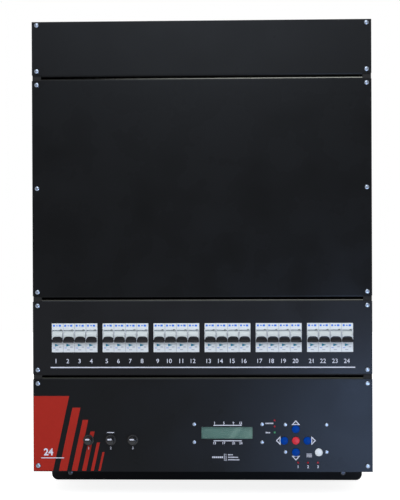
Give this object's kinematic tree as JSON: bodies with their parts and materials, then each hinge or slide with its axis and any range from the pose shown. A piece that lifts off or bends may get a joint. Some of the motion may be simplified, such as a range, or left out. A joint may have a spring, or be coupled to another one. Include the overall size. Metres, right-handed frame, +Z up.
{
  "type": "wall-mounted lighting dimmer",
  "caption": "Black wall-mounted stage lighting dimmer with rows of circuit breakers, fuse holders, a display window and a round-key keypad on folded steel panels.",
  "frame": {"origin": "on the wall plane at the middle of the back plate, at mid-width and mid-height of the front", "axes": "+Y into the wall, +Z up, the front faces -Y"},
  "size_m": [0.525, 0.206, 0.7414],
  "materials": {
    "black_paint": "fine matt powder coat",
    "white_moulding": "smooth moulding",
    "black_moulding": "smooth moulding",
    "blue_key": "satin key cap",
    "red_key": "satin key cap",
    "white_key": "satin key cap",
    "zinc_steel": "zinc plated",
    "bare_aluminium": "as extruded",
    "copper": "bare copper",
    "green_board": "solder-masked board",
    "display_glass": "grey-green display",
    "core_steel": "laminated core",
    "grey_ribbon": "flat cable",
    "choke_iron": "coated iron powder cores"
  },
  "bodies": {
    "dimmer": {"case_shell": "black_paint", "top_plate": "black_paint", "bottom_plate": "black_paint", "terminal_cover": "black_paint", "main_cover": "black_paint", "breaker_panel": "black_paint", "control_panel": "black_paint", "breaker_bank_1": "white_moulding", "breaker_bank_2": "white_moulding", "breaker_bank_3": "white_moulding", "breaker_bank_4": "white_moulding", "breaker_bank_5": "white_moulding", "breaker_bank_6": "white_moulding", "breaker_rail": "zinc_steel", "comb_busbar": "copper", "heatsink": "bare_aluminium", "power_board": "green_board", "choke_tray": "choke_iron", "terminal_strip": "black_moulding", "supply_block": "black_moulding", "control_board": "green_board", "ribbon_cable": "grey_ribbon", "display_module": "display_glass", "keypad_board": "green_board", "transformer": "core_steel", "fan_frame": "black_moulding"},
    "toggle_01": {"toggle_01": "black_moulding"},
    "toggle_02": {"toggle_02": "black_moulding"},
    "toggle_03": {"toggle_03": "black_moulding"},
    "toggle_04": {"toggle_04": "black_moulding"},
    "toggle_05": {"toggle_05": "black_moulding"},
    "toggle_06": {"toggle_06": "black_moulding"},
    "toggle_07": {"toggle_07": "black_moulding"},
    "toggle_08": {"toggle_08": "black_moulding"},
    "toggle_09": {"toggle_09": "black_moulding"},
    "toggle_10": {"toggle_10": "black_moulding"},
    "toggle_11": {"toggle_11": "black_moulding"},
    "toggle_12": {"toggle_12": "black_moulding"},
    "toggle_13": {"toggle_13": "black_moulding"},
    "toggle_14": {"toggle_14": "black_moulding"},
    "toggle_15": {"toggle_15": "black_moulding"},
    "toggle_16": {"toggle_16": "black_moulding"},
    "toggle_17": {"toggle_17": "black_moulding"},
    "toggle_18": {"toggle_18": "black_moulding"},
    "toggle_19": {"toggle_19": "black_moulding"},
    "toggle_20": {"toggle_20": "black_moulding"},
    "toggle_21": {"toggle_21": "black_moulding"},
    "toggle_22": {"toggle_22": "black_moulding"},
    "toggle_23": {"toggle_23": "black_moulding"},
    "toggle_24": {"toggle_24": "black_moulding"},
    "button_up": {"button_up": "blue_key"},
    "button_down": {"button_down": "blue_key"},
    "button_left": {"button_left": "blue_key"},
    "button_right": {"button_right": "blue_key"},
    "button_enter": {"button_enter": "red_key"},
    "button_menu": {"button_menu": "white_key"},
    "fuse_cap_1": {"fuse_cap_1": "black_moulding"},
    "fuse_cap_2": {"fuse_cap_2": "black_moulding"},
    "fuse_cap_3": {"fuse_cap_3": "black_moulding"},
    "fan_rotor": {"fan_rotor": "black_moulding"}
  },
  "joints": [
    {"name": "toggle_01_pivot", "type": "hinge", "parent": "dimmer", "child": "toggle_01", "pos_m": [-0.22405, -0.1828, -0.13865], "axis": [-1, 0, 0], "range_deg": [0, 65]},
    {"name": "toggle_02_pivot", "type": "hinge", "parent": "dimmer", "child": "toggle_02", "pos_m": [-0.20635, -0.1828, -0.13865], "axis": [-1, 0, 0], "range_deg": [0, 65]},
    {"name": "toggle_03_pivot", "type": "hinge", "parent": "dimmer", "child": "toggle_03", "pos_m": [-0.18865, -0.1828, -0.13865], "axis": [-1, 0, 0], "range_deg": [0, 65]},
    {"name": "toggle_04_pivot", "type": "hinge", "parent": "dimmer", "child": "toggle_04", "pos_m": [-0.17095, -0.1828, -0.13865], "axis": [-1, 0, 0], "range_deg": [0, 65]},
    {"name": "toggle_05_pivot", "type": "hinge", "parent": "dimmer", "child": "toggle_05", "pos_m": [-0.14505, -0.1828, -0.13865], "axis": [-1, 0, 0], "range_deg": [0, 65]},
    {"name": "toggle_06_pivot", "type": "hinge", "parent": "dimmer", "child": "toggle_06", "pos_m": [-0.12735, -0.1828, -0.13865], "axis": [-1, 0, 0], "range_deg": [0, 65]},
    {"name": "toggle_07_pivot", "type": "hinge", "parent": "dimmer", "child": "toggle_07", "pos_m": [-0.10965, -0.1828, -0.13865], "axis": [-1, 0, 0], "range_deg": [0, 65]},
    {"name": "toggle_08_pivot", "type": "hinge", "parent": "dimmer", "child": "toggle_08", "pos_m": [-0.09195, -0.1828, -0.13865], "axis": [-1, 0, 0], "range_deg": [0, 65]},
    {"name": "toggle_09_pivot", "type": "hinge", "parent": "dimmer", "child": "toggle_09", "pos_m": [-0.06605, -0.1828, -0.13865], "axis": [-1, 0, 0], "range_deg": [0, 65]},
    {"name": "toggle_10_pivot", "type": "hinge", "parent": "dimmer", "child": "toggle_10", "pos_m": [-0.04835, -0.1828, -0.13865], "axis": [-1, 0, 0], "range_deg": [0, 65]},
    {"name": "toggle_11_pivot", "type": "hinge", "parent": "dimmer", "child": "toggle_11", "pos_m": [-0.03065, -0.1828, -0.13865], "axis": [-1, 0, 0], "range_deg": [0, 65]},
    {"name": "toggle_12_pivot", "type": "hinge", "parent": "dimmer", "child": "toggle_12", "pos_m": [-0.01295, -0.1828, -0.13865], "axis": [-1, 0, 0], "range_deg": [0, 65]},
    {"name": "toggle_13_pivot", "type": "hinge", "parent": "dimmer", "child": "toggle_13", "pos_m": [0.01295, -0.1828, -0.13865], "axis": [-1, 0, 0], "range_deg": [0, 65]},
    {"name": "toggle_14_pivot", "type": "hinge", "parent": "dimmer", "child": "toggle_14", "pos_m": [0.03065, -0.1828, -0.13865], "axis": [-1, 0, 0], "range_deg": [0, 65]},
    {"name": "toggle_15_pivot", "type": "hinge", "parent": "dimmer", "child": "toggle_15", "pos_m": [0.04835, -0.1828, -0.13865], "axis": [-1, 0, 0], "range_deg": [0, 65]},
    {"name": "toggle_16_pivot", "type": "hinge", "parent": "dimmer", "child": "toggle_16", "pos_m": [0.06605, -0.1828, -0.13865], "axis": [-1, 0, 0], "range_deg": [0, 65]},
    {"name": "toggle_17_pivot", "type": "hinge", "parent": "dimmer", "child": "toggle_17", "pos_m": [0.09195, -0.1828, -0.13865], "axis": [-1, 0, 0], "range_deg": [0, 65]},
    {"name": "toggle_18_pivot", "type": "hinge", "parent": "dimmer", "child": "toggle_18", "pos_m": [0.10965, -0.1828, -0.13865], "axis": [-1, 0, 0], "range_deg": [0, 65]},
    {"name": "toggle_19_pivot", "type": "hinge", "parent": "dimmer", "child": "toggle_19", "pos_m": [0.12735, -0.1828, -0.13865], "axis": [-1, 0, 0], "range_deg": [0, 65]},
    {"name": "toggle_20_pivot", "type": "hinge", "parent": "dimmer", "child": "toggle_20", "pos_m": [0.14505, -0.1828, -0.13865], "axis": [-1, 0, 0], "range_deg": [0, 65]},
    {"name": "toggle_21_pivot", "type": "hinge", "parent": "dimmer", "child": "toggle_21", "pos_m": [0.17095, -0.1828, -0.13865], "axis": [-1, 0, 0], "range_deg": [0, 65]},
    {"name": "toggle_22_pivot", "type": "hinge", "parent": "dimmer", "child": "toggle_22", "pos_m": [0.18865, -0.1828, -0.13865], "axis": [-1, 0, 0], "range_deg": [0, 65]},
    {"name": "toggle_23_pivot", "type": "hinge", "parent": "dimmer", "child": "toggle_23", "pos_m": [0.20635, -0.1828, -0.13865], "axis": [-1, 0, 0], "range_deg": [0, 65]},
    {"name": "toggle_24_pivot", "type": "hinge", "parent": "dimmer", "child": "toggle_24", "pos_m": [0.22405, -0.1828, -0.13865], "axis": [-1, 0, 0], "range_deg": [0, 65]},
    {"name": "button_up_press", "type": "slide", "parent": "dimmer", "child": "button_up", "axis": [0, 1, 0], "range_m": [0, 0.0012], "stiffness_N_per_m": 1500},
    {"name": "button_down_press", "type": "slide", "parent": "dimmer", "child": "button_down", "axis": [0, 1, 0], "range_m": [0, 0.0012], "stiffness_N_per_m": 1500},
    {"name": "button_left_press", "type": "slide", "parent": "dimmer", "child": "button_left", "axis": [0, 1, 0], "range_m": [0, 0.0012], "stiffness_N_per_m": 1500},
    {"name": "button_right_press", "type": "slide", "parent": "dimmer", "child": "button_right", "axis": [0, 1, 0], "range_m": [0, 0.0012], "stiffness_N_per_m": 1500},
    {"name": "button_enter_press", "type": "slide", "parent": "dimmer", "child": "button_enter", "axis": [0, 1, 0], "range_m": [0, 0.0012], "stiffness_N_per_m": 1500},
    {"name": "button_menu_press", "type": "slide", "parent": "dimmer", "child": "button_menu", "axis": [0, 1, 0], "range_m": [0, 0.0012], "stiffness_N_per_m": 1500},
    {"name": "fuse_cap_1_turn", "type": "hinge", "parent": "dimmer", "child": "fuse_cap_1", "pos_m": [-0.1764, -0.1923, -0.29965], "axis": [0, -1, 0], "range_deg": [0, 90]},
    {"name": "fuse_cap_2_turn", "type": "hinge", "parent": "dimmer", "child": "fuse_cap_2", "pos_m": [-0.1421, -0.1923, -0.29965], "axis": [0, -1, 0], "range_deg": [0, 90]},
    {"name": "fuse_cap_3_turn", "type": "hinge", "parent": "dimmer", "child": "fuse_cap_3", "pos_m": [-0.1078, -0.1923, -0.29965], "axis": [0, -1, 0], "range_deg": [0, 90]},
    {"name": "fan_rotor_spin", "type": "hinge", "parent": "dimmer", "child": "fan_rotor", "pos_m": [0, -0.092, -0.34165], "axis": [0, 0, 1], "continuous": true}
  ]
}
